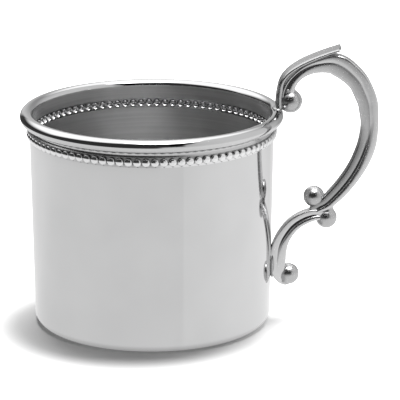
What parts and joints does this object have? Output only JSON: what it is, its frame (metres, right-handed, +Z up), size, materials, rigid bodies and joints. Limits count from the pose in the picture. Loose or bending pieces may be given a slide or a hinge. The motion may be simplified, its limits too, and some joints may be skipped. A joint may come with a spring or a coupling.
{
  "type": "baby cup",
  "caption": "Small round polished pewter cup with a rolled rim, a beaded collar and a scroll handle that has a leaf thumb rest and ball ends.",
  "frame": {"origin": "middle of the flat foot, on the surface the cup stands on", "axes": "+Z up along the cup's axis, +X out along the handle"},
  "size_m": [0.1041, 0.0764, 0.0818],
  "materials": {
    "polished_pewter": "mirror polished outside, satin spun inside",
    "cast_pewter": "cast and hand polished",
    "solder": "soft solder, polished over"
  },
  "bodies": {
    "root": {"cup_body": "polished_pewter", "bead_collar": "polished_pewter", "rim_roll": "polished_pewter", "thumb_leaf": "cast_pewter", "upper_scroll": "cast_pewter", "lower_scroll": "cast_pewter", "upper_ball": "cast_pewter", "inner_ball": "cast_pewter", "outer_ball": "cast_pewter", "lower_ball": "cast_pewter", "rim_solder": "solder", "wall_solder": "solder"}
  },
  "joints": []
}
